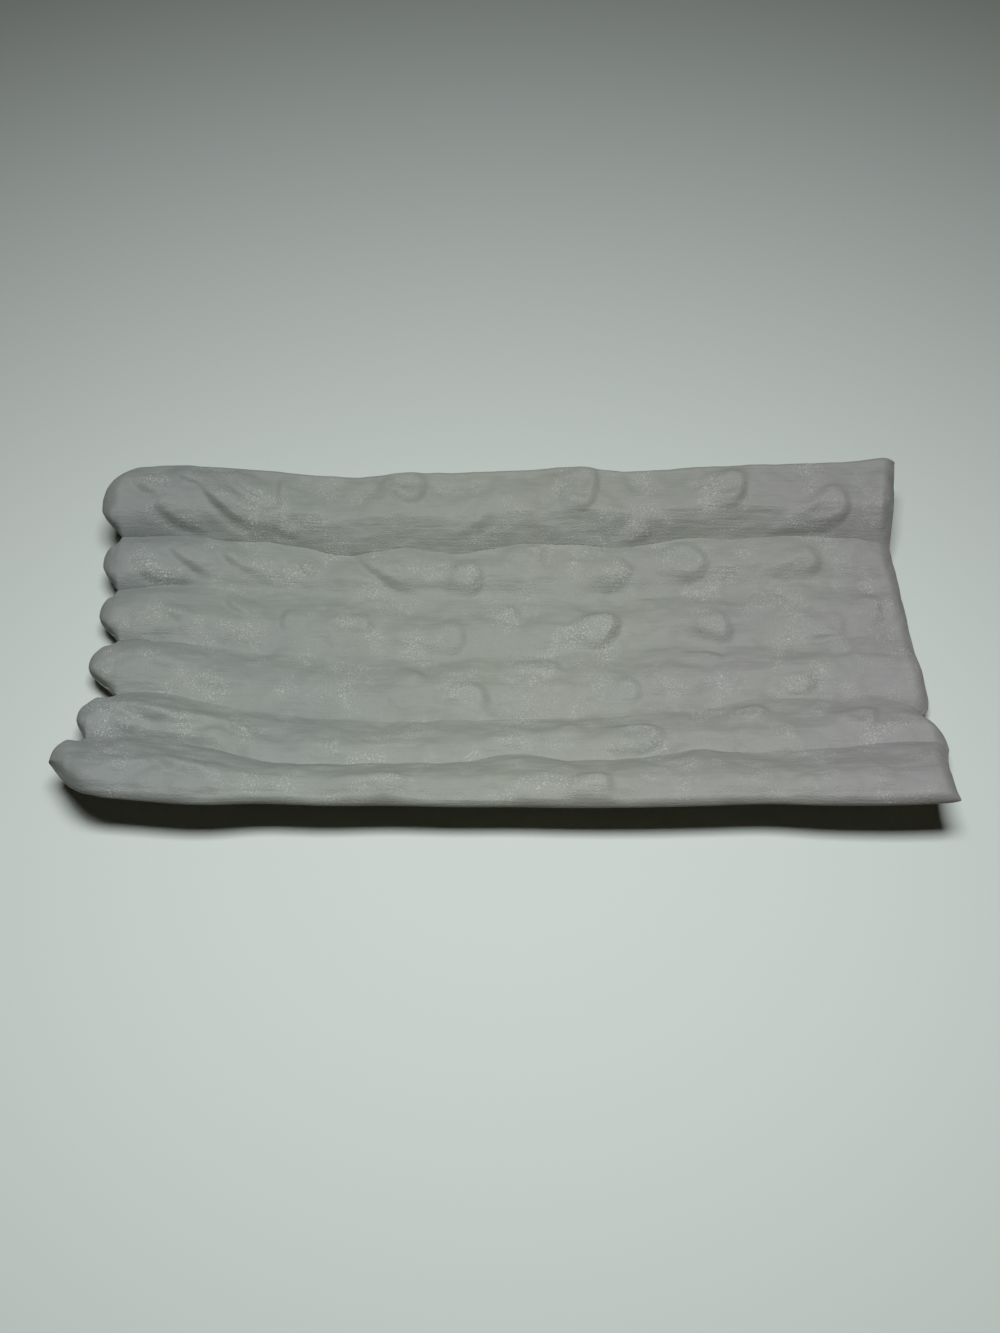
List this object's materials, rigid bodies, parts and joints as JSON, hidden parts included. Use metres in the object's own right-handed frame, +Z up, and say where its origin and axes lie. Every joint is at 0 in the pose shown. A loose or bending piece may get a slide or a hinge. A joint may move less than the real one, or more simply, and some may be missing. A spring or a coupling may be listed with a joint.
{
  "type": "serving tray",
  "caption": "Shallow unglazed ceramic serving tray shaped as asparagus spears side by side, with rounded tips, straight cut ends, raised scale leaves and sides that curve up.",
  "frame": {"origin": "on the table, under the middle of the tray's outline", "axes": "+X along the spears from their tips to their cut ends, +Y to the back rim, +Z up out of the dish"},
  "size_m": [0.303, 0.1506, 0.0279],
  "materials": {
    "clay": "matte unglazed"
  },
  "bodies": {
    "root": {"spear_1": "clay", "spear_2": "clay", "spear_3": "clay", "spear_4": "clay", "spear_5": "clay", "spear_6": "clay"}
  },
  "joints": []
}
